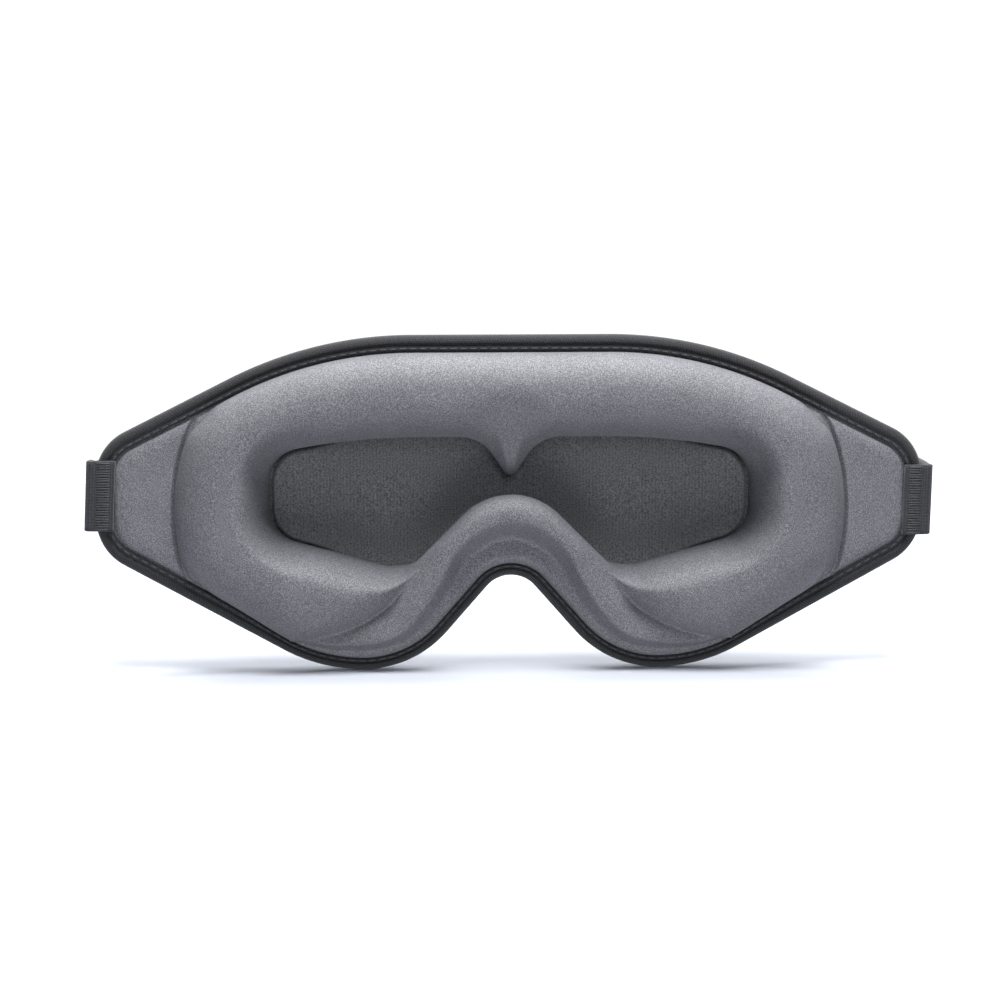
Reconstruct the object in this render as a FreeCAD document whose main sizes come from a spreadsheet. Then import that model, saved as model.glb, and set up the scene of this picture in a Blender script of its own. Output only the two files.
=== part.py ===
import FreeCAD, Part
import math
import os
from FreeCAD import Placement, Rotation, Vector

# Sleep eye mask, in millimetres.
# X runs along the mask, +Z is up towards the brow, and the wearer's face is on the -Y side.
# The origin lies on the line between the two strap folds, in the middle of the mask's rim.

doc = FreeCAD.newDocument("sleep_eye_mask")

# --- driving dimensions --------------------------------------------------------------------

SIZES = [
    # outline of the mask, measured from the origin
    ("wing_reach", 117.5),        # half the mask's length
    ("wing_corner", 15.0),        # radius of the wing's corners
    ("brow_height", 46.6),
    ("brow_flat", 28.0),          # half length of the straight brow
    ("shoulder_radius", 115.0),   # from the brow down to the wing
    ("shoulder_angle", 26.6),
    ("lobe_place", 42.0),         # from the middle to the lowest point of a lobe
    ("lobe_depth", 48.8),
    ("lobe_outer", 48.0),         # radii of the lobe, away from and towards the nose
    ("lobe_inner", 31.5),
    ("jaw_angle", 28.8),
    ("nose_depth", 21.9),         # top of the nose notch, below the origin
    ("nose_radius", 9.0),
    # raised pad
    ("pad_inset", 5.0),           # from the mask's edge to the pad's edge
    ("pad_reach", 95.0),          # half the pad's length
    ("pad_side_height", -3.0),    # height of the pad's widest place
    ("pad_side_radius", 61.0),
    ("pad_rise", 13.8),           # crest of the pad, in front of the rim
    # eye cavities
    ("cavity_reach", 68.0),
    ("cavity_corner", 10.0),
    ("cavity_top", 16.9),
    ("cavity_arch", 200.0),       # radius of the cavity's long upper edge
    ("pinch_tip", 6.6),           # lowest point of the pad between the eyes
    ("pinch_radius", 9.0),
    ("pinch_place", 16.5),
    ("ridge_top", 1.3),           # top of the nose roll where it enters the cavity
    ("ridge_radius", 24.0),
    ("cheek_place", 38.5),
    ("cheek_depth", 18.9),
    ("cheek_radius", 14.0),
    ("cheek_angle", 16.0),
    # layers, along Y
    ("rim_half", 2.5),            # half the thickness of the bound rim
    ("tape", 0.6),
    ("skin", 0.6),
    ("front_skin", 0.8),
    ("front_core", 2.4),
    ("front_bulge", 8.2),         # front surface over the cavities, behind the rim
    ("front_slope", 9.0),         # run of the sloping side of the bulge
    ("bulge_margin", 0.3),        # from the binding to the foot of the bulge
    ("layer_gap", 0.2),           # between the foam ring and the hollow that it sits in
    ("tape_width", 5.0),
    ("lower_squeeze", 1.4),       # the binding's flange is narrower by this along the lower edge
    ("thread", 0.5),
    ("stitch_inset", 3.9),
    # strap
    ("web_width", 20.0),
    ("web", 1.0),
    ("fold_gap", 0.1),            # between neighbouring layers of webbing
    ("tab_start", 111.8),
    ("tack_start", 112.6),
    ("tack_width", 4.2),
    ("tack_rows", 14),
    ("tack_margin", 1.0),         # from the tack to the webbing's edges
    ("tack_run", 5.0),            # length of the tacks behind the mask
    ("fold_reach", 120.6),        # outer face of the strap's side runs
    ("side_run", 27.0),
    ("back_corner", 35.0),
    ("bar_thick", 1.8),               # diameter of the bars of the ring and the slider
    ("bar_gap", 0.05),
    ("slide_gap", 0.3),
    ("ring_place", -45.0),
    ("ring_pitch", 6.6),          # from bar to bar
    ("slider_place", 35.0),
    ("slider_pitch", 5.2),
    ("rail", 2.4),
    ("rail_margin", 0.3),         # rail beyond the bars
    ("hem", 12.0),
    ("hem_bend", 25.0),           # angle at which the hem draws in after its turn
    ("hem_radius", 3.0),
    ("return_start", 18.0),       # sewn end of the long strap, from the slider's middle
]

sheet = doc.addObject("Spreadsheet::Sheet", "Sizes")
for row, (alias, value) in enumerate(SIZES, start=1):
    sheet.set("A%d" % row, alias)
    sheet.set("B%d" % row, str(value))
    sheet.setAlias("B%d" % row, alias)
doc.recompute()


class Cells:
    """The sheet's numbers, read by alias."""

    def __getattr__(self, alias):
        return float(getattr(sheet, alias))


c = Cells()

CROWN = [(0.6, 0.5), (3.2, 0.85), (8.0, 1.0)]   # the pad's rounding: inset and share of its rise
WEB_Y = c.side_run + c.back_corner         # middle of the strap's run behind the mask
WRAP = c.bar_thick / 2 + c.bar_gap + c.web / 2   # radius of the strap's middle round a bar


# --- flat geometry -------------------------------------------------------------------------

def on_circle(centre, radius, degrees):
    turn = math.radians(degrees)
    return Vector(centre[0] + radius * math.cos(turn), centre[1] + radius * math.sin(turn), 0)


def arc(centre, radius, start, end):
    """Circular arc from the angle start to the angle end, in degrees, start below end."""
    circle = Part.Circle(Vector(centre[0], centre[1], 0), Vector(0, 0, 1), radius)
    return Part.ArcOfCircle(circle, math.radians(start), math.radians(end))


def line(start, end):
    return Part.LineSegment(start, end)


def crossing_tangent(upper, lower, radii):
    """Angle on the first circle where a line leaves it to pass under the second one."""
    span = math.hypot(lower[0] - upper[0], lower[1] - upper[1])
    bearing = math.degrees(math.atan2(lower[1] - upper[1], lower[0] - upper[0]))
    return bearing + math.degrees(math.acos(radii / span))


def mirrored(pieces):
    """The pieces, and their mirror images in the plane X = 0."""
    flipped = []
    for piece in pieces:
        if isinstance(piece, Part.LineSegment):
            ends = (piece.StartPoint, piece.EndPoint)
            flipped.append(line(*[Vector(-end.x, end.y, 0) for end in ends]))
        else:
            centre = (-piece.Center.x, piece.Center.y)
            flipped.append(arc(centre, piece.Radius, 180 - math.degrees(piece.LastParameter),
                               180 - math.degrees(piece.FirstParameter)))
    return pieces + flipped


def slope_corner(start, angle, side, corner_x, radius):
    """Height of a corner's centre, tangent to the line that leaves start at the given angle."""
    turn = math.radians(angle)
    run = corner_x - start.x
    return start.y + side * (-radius - run * math.sin(turn)) / math.cos(turn)


def lower(inset):
    """An inset as it is along the lower edge, where the binding's flange is narrower."""
    share = min(max((inset - c.tape) / (c.tape_width - c.tape), 0), 1)
    return inset - c.lower_squeeze * share


def lobe_and_nose(inset):
    """From the jaw line's start, under the lobe and up to the top of the nose notch."""
    inset = lower(inset)
    outer = (c.lobe_place, c.lobe_outer - c.lobe_depth)
    inner = (c.lobe_place, c.lobe_inner - c.lobe_depth)
    nose = (0, -c.nose_depth - c.nose_radius)
    leave = crossing_tangent(nose, inner, c.nose_radius + c.lobe_inner)
    return [
        arc(outer, c.lobe_outer - inset, -90, c.jaw_angle - 90),
        arc(inner, c.lobe_inner - inset, leave - 180, -90),
        line(on_circle(inner, c.lobe_inner - inset, leave - 180),
             on_circle(nose, c.nose_radius + inset, leave)),
        arc(nose, c.nose_radius + inset, leave, 90),
    ]


def brow(inset):
    """The straight brow and the arc of the shoulder, and the shoulder's end."""
    centre = (c.brow_flat, c.brow_height - c.shoulder_radius)
    radius = c.shoulder_radius - inset
    edge = c.brow_height - inset
    pieces = [line(Vector(0, edge, 0), Vector(c.brow_flat, edge, 0)),
              arc(centre, radius, 90 - c.shoulder_angle, 90)]
    return pieces, on_circle(centre, radius, 90 - c.shoulder_angle)


def jaw_start(inset):
    outer = (c.lobe_place, c.lobe_outer - c.lobe_depth)
    return on_circle(outer, c.lobe_outer - lower(inset), c.jaw_angle - 90)


def mask_outline(inset):
    """The whole mask's edge, moved inwards by inset."""
    pieces, shoulder = brow(inset)
    jaw = jaw_start(inset)
    corner_x = c.wing_reach - c.wing_corner
    radius = c.wing_corner - inset
    upper = (corner_x, slope_corner(shoulder, c.shoulder_angle, 1, corner_x, radius))
    lower = (corner_x, slope_corner(jaw, c.jaw_angle, -1, corner_x, radius))
    pieces += [
        line(shoulder, on_circle(upper, radius, 90 - c.shoulder_angle)),
        arc(upper, radius, 0, 90 - c.shoulder_angle),
        line(on_circle(upper, radius, 0), on_circle(lower, radius, 0)),
        arc(lower, radius, c.jaw_angle - 90, 0),
        line(on_circle(lower, radius, c.jaw_angle - 90), jaw),
    ]
    return mirrored(pieces + lobe_and_nose(inset))


def meet_side(start, rise, centre, radius):
    """Where the line from start, rising by the angle rise, meets the pad's side arc."""
    way = Vector(math.cos(math.radians(rise)), math.sin(math.radians(rise)), 0)
    offset = start - Vector(centre[0], centre[1], 0)
    half = offset.dot(way)
    return start + way * (math.sqrt(half * half - offset.dot(offset) + radius * radius) - half)


def pad_outline(inset):
    """The raised pad's edge, moved inwards by inset."""
    pieces, shoulder = brow(c.pad_inset + inset)
    jaw = jaw_start(c.pad_inset + inset)
    centre = (c.pad_reach - c.pad_side_radius, c.pad_side_height)
    radius = c.pad_side_radius - inset
    upper = meet_side(shoulder, -c.shoulder_angle, centre, radius)
    lower = meet_side(jaw, c.jaw_angle, centre, radius)
    angles = [math.degrees(math.atan2(p.y - centre[1], p.x - centre[0])) for p in (lower, upper)]
    pieces += [line(shoulder, upper), arc(centre, radius, *angles), line(lower, jaw)]
    return mirrored(pieces + lobe_and_nose(c.pad_inset + inset))


def cavity_outline(outset):
    """The edge of the two joined eye cavities, moved outwards by outset."""
    ridge = (0, c.ridge_top - c.ridge_radius)
    cheek = (c.cheek_place, c.cheek_radius - c.cheek_depth)
    pinch = (c.pinch_place, c.cavity_top - c.pinch_radius)
    arch = (c.pinch_place, c.cavity_top - c.cavity_arch)
    corner_x = c.cavity_reach - c.cavity_corner
    rise = math.degrees(math.acos((corner_x - arch[0]) / (c.cavity_arch - c.cavity_corner)))
    upper = (corner_x, on_circle(arch, c.cavity_arch - c.cavity_corner, rise).y)
    cheek_end = on_circle(cheek, c.cheek_radius, c.cheek_angle - 90)
    lower = (corner_x, slope_corner(cheek_end, c.cheek_angle, -1, corner_x, c.cavity_corner))
    leave = crossing_tangent(ridge, cheek, c.ridge_radius + c.cheek_radius)
    reach = math.hypot(pinch[0], pinch[1] - c.pinch_tip)
    flank = math.degrees(math.atan2(pinch[1] - c.pinch_tip, pinch[0])
                         + math.asin(c.pinch_radius / reach))
    tip = Vector(0, c.pinch_tip + outset / math.cos(math.radians(flank)), 0)
    corner = c.cavity_corner + outset
    return mirrored([
        line(tip, on_circle(pinch, c.pinch_radius + outset, flank + 90)),
        arc(pinch, c.pinch_radius + outset, 90, flank + 90),
        arc(arch, c.cavity_arch + outset, rise, 90),
        arc(upper, corner, 0, rise),
        line(on_circle(upper, corner, 0), on_circle(lower, corner, 0)),
        arc(lower, corner, c.cheek_angle - 90, 0),
        line(on_circle(lower, corner, c.cheek_angle - 90),
             on_circle(cheek, c.cheek_radius + outset, c.cheek_angle - 90)),
        arc(cheek, c.cheek_radius + outset, leave - 180, c.cheek_angle - 90),
        line(on_circle(cheek, c.cheek_radius + outset, leave - 180),
             on_circle(ridge, c.ridge_radius - outset, leave)),
        arc(ridge, c.ridge_radius - outset, leave, 90),
    ])


def band_profile(start, heading, moves, thickness):
    """Closed outline of a strip of webbing seen edge on. Moves are (length,) or (radius, turn)."""
    sides = {1: [], -1: []}
    ends = []
    here = Vector(start[0], start[1], 0)
    for move in [None] + moves:
        if move:
            left = Vector(-math.sin(math.radians(heading)), math.cos(math.radians(heading)), 0)
            if len(move) == 1:
                onward = here + Vector(left.y, -left.x, 0) * move[0]
                for side in sides:
                    shift = left * (side * thickness / 2)
                    sides[side].append(line(here + shift, onward + shift))
                here = onward
            else:
                radius, turn = move
                bend = math.copysign(1, turn)
                centre = here + left * (radius * bend)
                begin = heading - 90 * bend
                low, high = sorted((begin, begin + turn))
                for side in sides:
                    sides[side].append(arc(centre, radius - side * bend * thickness / 2, low, high))
                here = on_circle(centre, radius, begin + turn)
                heading += turn
        left = Vector(-math.sin(math.radians(heading)), math.cos(math.radians(heading)), 0)
        ends.append((here + left * (thickness / 2), here - left * (thickness / 2)))
    caps = [line(*ends[0]), line(*ends[-1])]
    return sides[1] + sides[-1] + caps


def box_outline(low, high):
    corners = [Vector(low[0], low[1], 0), Vector(high[0], low[1], 0),
               Vector(high[0], high[1], 0), Vector(low[0], high[1], 0)]
    return [line(corners[i], corners[(i + 1) % 4]) for i in range(4)]


# --- document objects ----------------------------------------------------------------------

FACE_ON = Rotation(Vector(1, 0, 0), 90)   # sketch x along X, sketch y along Z


def face_sketch(name, geometry, level="0"):
    """A sketch in the plane of the mask, moved along Y to the level that the expression gives."""
    sketch = doc.addObject("Sketcher::SketchObject", name)
    sketch.addGeometry(geometry, False)
    sketch.Placement = Placement(Vector(0, 0, 0), FACE_ON)
    sketch.setExpression("Placement.Base.y", level)
    return sketch


def slab(name, geometry, low, high):
    """The outline made solid between two levels along Y, each an expression."""
    solid = doc.addObject("Part::Extrusion", name)
    solid.Base = face_sketch(name + "_outline", geometry, low)
    solid.DirMode = "Custom"
    solid.Dir = Vector(0, 1, 0)
    solid.setExpression("LengthFwd", "(%s) - (%s)" % (high, low))
    solid.Solid = True
    return solid


def loft(name, sections):
    """A ruled solid through outlines, each given with its level along Y."""
    solid = doc.addObject("Part::Loft", name)
    solid.Sections = [face_sketch("%s_%d" % (name, number), geometry, level)
                      for number, (geometry, level) in enumerate(sections)]
    solid.Solid = True
    solid.Ruled = True
    return solid


def fuse(name, solids):
    result = doc.addObject("Part::MultiFuse", name)
    result.Shapes = solids
    return result


def cut(name, base, tool):
    result = doc.addObject("Part::Cut", name)
    result.Base = base
    result.Tool = tool
    return result


def plan_sketch(body, name, geometry):
    """A sketch in the plan plane of a body."""
    sketch = body.newObject("Sketcher::SketchObject", name)
    plane = [f for f in body.Origin.OriginFeatures if f.Role == "XY_Plane"][0]
    sketch.AttachmentSupport = (plane, [""])
    sketch.MapMode = "FlatFace"
    sketch.addGeometry(geometry, False)
    return sketch


def plan_pad(body, name, geometry, height):
    """The plan outline padded evenly up and down to the height that the expression gives."""
    pad = body.newObject("PartDesign::Pad", name)
    pad.Profile = plan_sketch(body, name + "_outline", geometry)
    pad.Midplane = True
    pad.setExpression("Length", height)
    return pad


def webbing(label, start, heading, moves):
    """A strip of webbing on edge, as wide as the strap."""
    body = doc.addObject("PartDesign::Body", label)
    plan_pad(body, label + "_web", band_profile(start, heading, moves, c.web), "Sizes.web_width")
    return body


def barred_frame(label, place, length, low, high, bars):
    """A moulded strap fitting: two end rails joined by round bars."""
    body = doc.addObject("PartDesign::Body", label)
    rails = box_outline((place - length / 2, low), (place + length / 2, high))
    plan_pad(body, label + "_rails", rails, "Sizes.web_width + 2 * Sizes.slide_gap + 2 * Sizes.rail")
    doc.recompute()
    margin = length + c.rail
    window = box_outline((place - margin, low - margin), (place + margin, high + margin))
    window += [Part.Circle(Vector(x, y, 0), Vector(0, 0, 1), c.bar_thick / 2) for x, y in bars]
    pocket = body.newObject("PartDesign::Pocket", label + "_window")
    pocket.Profile = plan_sketch(body, label + "_window_outline", window)
    pocket.Midplane = True
    pocket.setExpression("Length", "Sizes.web_width + 2 * Sizes.slide_gap")
    doc.recompute()
    corners = ["Edge%d" % number for number, edge in enumerate(pocket.Shape.Edges, start=1)
               if is_rail_corner(edge, place, length)]
    rounding = body.newObject("PartDesign::Fillet", label + "_rounding")
    rounding.Base = (pocket, corners)
    rounding.setExpression("Radius", "Sizes.bar_thick / 2 - Sizes.fold_gap")
    return body


def is_rail_corner(edge, place, length):
    """True for the four upright corner edges of each rail."""
    ends = [v.Point for v in edge.Vertexes]
    if len(ends) != 2 or abs(ends[0].x - ends[1].x) > 1e-6 or abs(ends[0].y - ends[1].y) > 1e-6:
        return False
    return abs(abs(ends[0].x - place) - length / 2) < 1e-6


def tack(label, x_low, x_high, y):
    """A bar tack: rows of thread across the webbing, standing out from the level y."""
    width = c.web_width - 2 * c.tack_margin
    body = doc.addObject("PartDesign::Body", label)
    first = body.newObject("PartDesign::AdditiveBox", label + "_thread")
    first.Length = x_high - x_low
    first.setExpression("Width", "Sizes.thread / 2")
    first.setExpression("Height", "Sizes.thread")
    first.Placement = Placement(Vector(x_low, y, -width / 2), Rotation())
    doc.recompute()
    pattern = body.newObject("PartDesign::LinearPattern", label + "_rows")
    pattern.Originals = [first]
    pattern.Direction = ([f for f in body.Origin.OriginFeatures if f.Role == "Z_Axis"][0], [""])
    pattern.Length = width - c.thread
    pattern.Occurrences = int(c.tack_rows)
    body.Tip = pattern
    return body


# --- the mask ------------------------------------------------------------------------------

FACE_LAYER = "Sizes.tape - Sizes.rim_half"                      # face side of the pad's skin
CORE_FACE = "Sizes.tape - Sizes.rim_half + Sizes.skin"          # face side of the front foam
CORE_BACK = "Sizes.rim_half - Sizes.tape - Sizes.front_skin"    # its other side
BACK_LAYER = "Sizes.rim_half - Sizes.tape"                      # outside of the front fabric
BULGE_CORE = "Sizes.front_bulge - Sizes.front_skin"             # outside of the foam's bulge
BULGE_FLOOR = "Sizes.front_bulge - Sizes.front_skin - Sizes.front_core"
LINING_TOP = "Sizes.front_bulge - Sizes.front_skin - Sizes.front_core - Sizes.skin"
CREST = "-Sizes.pad_rise"
FOAM_CREST = "Sizes.skin - Sizes.pad_rise"


def front_layers():
    """The front foam with its bulge over the eyes, and the fabric that covers it."""
    foot = c.bulge_margin + c.front_skin
    core_bulge = loft("core_bulge", [(pad_outline(foot), CORE_BACK),
                                     (pad_outline(c.front_slope), BULGE_CORE)])
    hollow = loft("core_hollow", [(pad_outline(c.front_core), CORE_FACE),
                                  (pad_outline(c.front_slope + c.front_core), BULGE_FLOOR)])
    core_sheet = slab("core_sheet", mask_outline(c.tape), CORE_FACE, CORE_BACK)
    foam = cut("front_foam", fuse("core_solid", [core_sheet, core_bulge]), hollow)
    cover_sheet = slab("cover_sheet", mask_outline(c.tape), CORE_BACK, BACK_LAYER)
    cover_bulge = loft("cover_bulge", [(pad_outline(c.bulge_margin), BACK_LAYER),
                                       (pad_outline(c.front_slope - c.front_skin / 2),
                                        "Sizes.front_bulge")])
    fabric = cut("front_fabric", fuse("cover_solid", [cover_sheet, cover_bulge]), core_bulge)
    return foam, fabric


def crown(name, inset, foot, crest):
    """The pad's rounded face side, from the level foot to the level crest."""
    rings = [(pad_outline(inset + step), "%g * (%s)" % (share, crest)) for step, share in CROWN]
    return loft(name, [(pad_outline(inset), foot)] + rings)


def pad_layers():
    """The lining, the moulded foam ring and the skin over it."""
    floor_inset = c.front_slope + c.front_core + c.layer_gap
    lining = slab("lining_fabric", pad_outline(floor_inset), LINING_TOP, BULGE_FLOOR)
    foam_top = crown("foam_top", c.skin, FACE_LAYER, FOAM_CREST)
    foam_base = loft("foam_base", [(pad_outline(c.front_core + c.layer_gap), FACE_LAYER),
                                   (pad_outline(floor_inset), LINING_TOP)])
    foam_hole = slab("foam_hole", cavity_outline(c.skin), "-2 * Sizes.pad_rise", "Sizes.pad_rise")
    foam = cut("pad_foam", fuse("foam_solid", [foam_top, foam_base]), foam_hole)
    skin_top = crown("skin_top", 0, FACE_LAYER, CREST)
    skin_wall = slab("skin_wall", cavity_outline(c.skin), FACE_LAYER, LINING_TOP)
    skin_sheet = slab("skin_sheet", mask_outline(c.tape), FACE_LAYER, CORE_FACE)
    skin_solid = fuse("skin_solid", [skin_top, skin_wall, skin_sheet])
    skin_hole = slab("skin_hole", cavity_outline(0), "-2 * Sizes.pad_rise", "Sizes.pad_rise")
    skin = cut("pad_fabric", cut("skin_shell", skin_solid, foam), skin_hole)
    return lining, foam, skin


def edge_pieces():
    """The folded binding, with the layers in its slot, and the thread that holds it."""
    back = "Sizes.rim_half"
    face = "-Sizes.rim_half"
    roll = slab("binding_roll", mask_outline(0), face, back)
    middle = slab("binding_middle", mask_outline(c.tape_width), "2 * " + face, "2 * " + back)
    slot = slab("binding_slot", mask_outline(c.tape), FACE_LAYER, BACK_LAYER)
    binding = cut("edge_binding", cut("binding_ring", roll, middle), slot)
    thread_top = "-Sizes.rim_half - Sizes.thread / 2"
    thread_out = slab("thread_out", mask_outline(c.stitch_inset), thread_top, face)
    thread_in = slab("thread_in", mask_outline(c.stitch_inset + c.thread), "2 * " + face, "0")
    return binding, cut("edge_stitching", thread_out, thread_in)


def strap_tabs():
    """The strap's two sewn ends, on the face side of the wings, each with its tack."""
    tabs = []
    level = -c.rim_half - c.thread / 2 - c.web / 2
    length = c.fold_reach - c.web - c.fold_gap - c.tab_start
    for name, side, heading in (("left", -1, 180), ("right", 1, 0)):
        tabs.append(webbing(name + "_strap_tab", (side * c.tab_start, level), heading, [(length,)]))
        ends = sorted((side * c.tack_start, side * (c.tack_start + c.tack_width)))
        tabs.append(tack(name + "_tab_stitching", *ends, level - c.web / 2 - c.thread / 2))
    return tabs


# --- the strap behind the mask -------------------------------------------------------------

def turned_hem(side):
    """Turn round a bar, draw in against the strap and run along it. side is 1 for a left turn."""
    slope = math.radians(c.hem_bend)
    drop = 2 * WRAP - c.web - c.fold_gap
    run = (drop - 2 * c.hem_radius * (1 - math.cos(slope))) / math.sin(slope)
    return [(WRAP, 180 * side), (c.hem_radius, c.hem_bend * side), (run,),
            (c.hem_radius, -c.hem_bend * side), (c.hem,)]


def straps():
    """The short and the long strap, the ring that joins them, and the short strap's tack."""
    side_x = c.fold_reach - c.web / 2
    back_run = side_x - c.back_corner
    left_bar = c.ring_place - c.ring_pitch / 2
    right_bar = c.ring_place + c.ring_pitch / 2
    short = webbing("short_strap", (-side_x, 0), 90,
                    [(c.side_run,), (c.back_corner, -90), (back_run + left_bar,)] + turned_hem(-1))
    long = webbing("long_strap", (side_x, 0), 90,
                   [(c.side_run,), (c.back_corner, 90), (back_run - right_bar,), (WRAP, 180), (c.web,)])
    bar_y = WEB_Y - WRAP
    half = c.bar_thick / 2 + c.rail_margin
    ring = barred_frame("strap_ring", c.ring_place, c.ring_pitch + 2 * half, bar_y - half,
                        bar_y + half, [(left_bar, bar_y), (right_bar, bar_y)])
    tack_x = left_bar - c.hem - c.tack_run
    short_tack = tack("short_strap_stitching", tack_x, tack_x + c.tack_run, WEB_Y + c.web / 2)
    return short, long, ring, short_tack


def slider_pieces():
    """The slider, the strap end sewn round its middle bar, and the strap back to the ring."""
    bar_y = WEB_Y - c.web - c.slide_gap - WRAP
    outer_y = WEB_Y + c.web / 2 + c.slide_gap + c.bar_thick / 2
    half = c.bar_thick / 2 + c.rail_margin
    bars = [(c.slider_place - c.slider_pitch, outer_y), (c.slider_place, bar_y),
            (c.slider_place + c.slider_pitch, outer_y)]
    slider = barred_frame("strap_slider", c.slider_place, 2 * c.slider_pitch + 2 * half,
                          bar_y - half, outer_y + half, bars)
    fold_x = c.slider_place - c.return_start
    fold_y = bar_y - WRAP
    fold = webbing("strap_end_fold", (fold_x, fold_y), 0, [(c.return_start,)] + turned_hem(1))
    tack_x = fold_x + c.tack_margin
    sewn = tack("strap_end_stitching", tack_x, tack_x + c.tack_run,
                fold_y - c.web / 2 - c.thread / 2)
    start_x = c.ring_place + c.ring_pitch / 2 + c.web + c.fold_gap
    start_y = WEB_Y - 2 * WRAP
    slant = math.degrees(math.atan2(fold_y - start_y, fold_x - start_x))
    length = math.hypot(fold_y - start_y, fold_x - start_x) - 2 * c.fold_gap
    back = webbing("strap_return", (start_x, start_y), slant, [(length,)])
    return slider, fold, sewn, back


parts = [*front_layers(), *pad_layers(), *edge_pieces(), *strap_tabs(), *straps(), *slider_pieces()]
doc.recompute()

# --- checks and files ----------------------------------------------------------------------

for item in doc.Objects:
    if {"Invalid", "Error"} & set(item.State):
        raise RuntimeError("%s did not build: %s" % (item.Name, item.State))
for part in parts:
    if part.Shape.isNull() or not part.Shape.isValid():
        raise RuntimeError("%s has no valid shape" % part.Label)

os.makedirs("parts", exist_ok=True)
for part in parts:
    part.Shape.exportStep(os.path.join("parts", part.Label + ".step"))
    box = part.Shape.BoundBox
    print("%-22s solids %2d  volume %9.1f  x %7.1f %7.1f  y %6.1f %6.1f  z %6.1f %6.1f" % (
        part.Label, len(part.Shape.Solids), part.Shape.Volume,
        box.XMin, box.XMax, box.YMin, box.YMax, box.ZMin, box.ZMax))
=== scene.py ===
import math

import bmesh
import bpy
import numpy as np
from mathutils import Euler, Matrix, Vector, kdtree, noise


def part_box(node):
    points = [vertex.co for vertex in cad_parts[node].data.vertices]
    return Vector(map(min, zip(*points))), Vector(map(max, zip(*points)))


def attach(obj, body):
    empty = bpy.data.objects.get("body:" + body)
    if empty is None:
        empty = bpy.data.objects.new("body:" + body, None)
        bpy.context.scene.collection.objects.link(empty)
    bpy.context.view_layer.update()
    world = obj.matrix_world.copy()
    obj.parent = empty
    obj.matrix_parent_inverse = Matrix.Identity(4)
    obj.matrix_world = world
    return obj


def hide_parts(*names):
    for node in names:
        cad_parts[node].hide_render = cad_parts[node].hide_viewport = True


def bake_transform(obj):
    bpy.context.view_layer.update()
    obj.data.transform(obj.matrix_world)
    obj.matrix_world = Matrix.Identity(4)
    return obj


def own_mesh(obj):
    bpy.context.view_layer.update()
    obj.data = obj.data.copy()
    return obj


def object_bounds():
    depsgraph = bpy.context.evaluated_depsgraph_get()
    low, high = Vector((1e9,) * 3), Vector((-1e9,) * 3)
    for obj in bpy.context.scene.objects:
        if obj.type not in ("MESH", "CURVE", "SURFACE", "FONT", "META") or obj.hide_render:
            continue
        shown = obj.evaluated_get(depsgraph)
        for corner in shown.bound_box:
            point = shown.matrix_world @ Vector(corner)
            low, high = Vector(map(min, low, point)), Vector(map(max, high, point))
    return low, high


# Sleep eye mask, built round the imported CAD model.
# Sizes below are in millimetres, as in the CAD source; meshes are written in metres.
# X runs along the mask, +Z is up towards the brow, and the wearer's face is on the -Y side.
# "Rise" is the distance from the middle of the rim towards the face, so y = -rise.

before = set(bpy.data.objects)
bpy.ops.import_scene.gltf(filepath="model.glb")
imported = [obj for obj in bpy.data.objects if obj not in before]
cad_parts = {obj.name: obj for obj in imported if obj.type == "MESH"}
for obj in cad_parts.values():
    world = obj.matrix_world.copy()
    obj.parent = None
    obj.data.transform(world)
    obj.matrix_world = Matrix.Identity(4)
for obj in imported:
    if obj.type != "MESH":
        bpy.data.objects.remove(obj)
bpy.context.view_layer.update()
MM = 0.001
FINE = 0.15                       # spacing of the lines that distances are measured from

# --- sizes ---
# They repeat the CAD source, except those of the cavities, which follow the photograph more
# closely: CAVITY_TOP, CAVITY_ARCH, ARCH_PLACE, PINCH_..., RIDGE_... and CHEEK_...

WING_REACH, WING_CORNER = 117.5, 15.0
BROW_HEIGHT, BROW_FLAT = 46.6, 28.0
SHOULDER_RADIUS, SHOULDER_ANGLE = 115.0, 26.6
LOBE_PLACE, LOBE_DEPTH = 42.0, 48.8
LOBE_OUTER, LOBE_INNER, JAW_ANGLE = 48.0, 31.5, 28.8
NOSE_DEPTH, NOSE_RADIUS = 21.9, 9.0
TAPE_WIDTH, LOWER_SQUEEZE = 5.0, 1.4   # flange of the binding, and how much narrower it is below
PAD_INSET, PAD_REACH = 5.0, 95.0
PAD_SIDE_HEIGHT, PAD_SIDE_RADIUS = -3.0, 61.0
PAD_RISE = 13.8
CAVITY_REACH, CAVITY_CORNER = 68.0, 10.0
CAVITY_TOP, CAVITY_ARCH, ARCH_PLACE = 17.5, 175.0, 27.0
PINCH_TIP, PINCH_END, PINCH_RADIUS, PINCH_PLACE = 6.6, 2.2, 11.5, 14.5
RIDGE_TOP, RIDGE_RADIUS = 2.4, 20.0
CHEEK_PLACE, CHEEK_DEPTH, CHEEK_RADIUS, CHEEK_ANGLE = 34.5, 19.6, 10.0, 16.0
TAPE, SKIN = 0.6, 0.6
FLOOR_Y = 4.4                     # face side of the lining at the bottom of the eye cavities
WEB_WIDTH, WEB = 20.0, 1.0
TAB_START, FOLD_REACH = 111.8, 120.6
SIDE_RUN, BACK_CORNER = 27.0, 35.0
BAR, BAR_GAP, SLIDE_GAP = 1.8, 0.05, 0.3
RING_PLACE, RING_PITCH = -45.0, 6.6
SLIDER_PLACE = 35.0
HEM, HEM_BEND, HEM_RADIUS = 12.0, 25.0, 3.0
RETURN_START = 18.0
WRAP = BAR / 2 + BAR_GAP + WEB / 2
WEB_Y = SIDE_RUN + BACK_CORNER


# --- flat geometry ---

def on_circle(centre, radius, degrees):
    turn = math.radians(degrees)
    return np.array([centre[0] + radius * math.cos(turn), centre[1] + radius * math.sin(turn)])


def line(start, end):
    return ("line", np.array(start, float), np.array(end, float))


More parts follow.
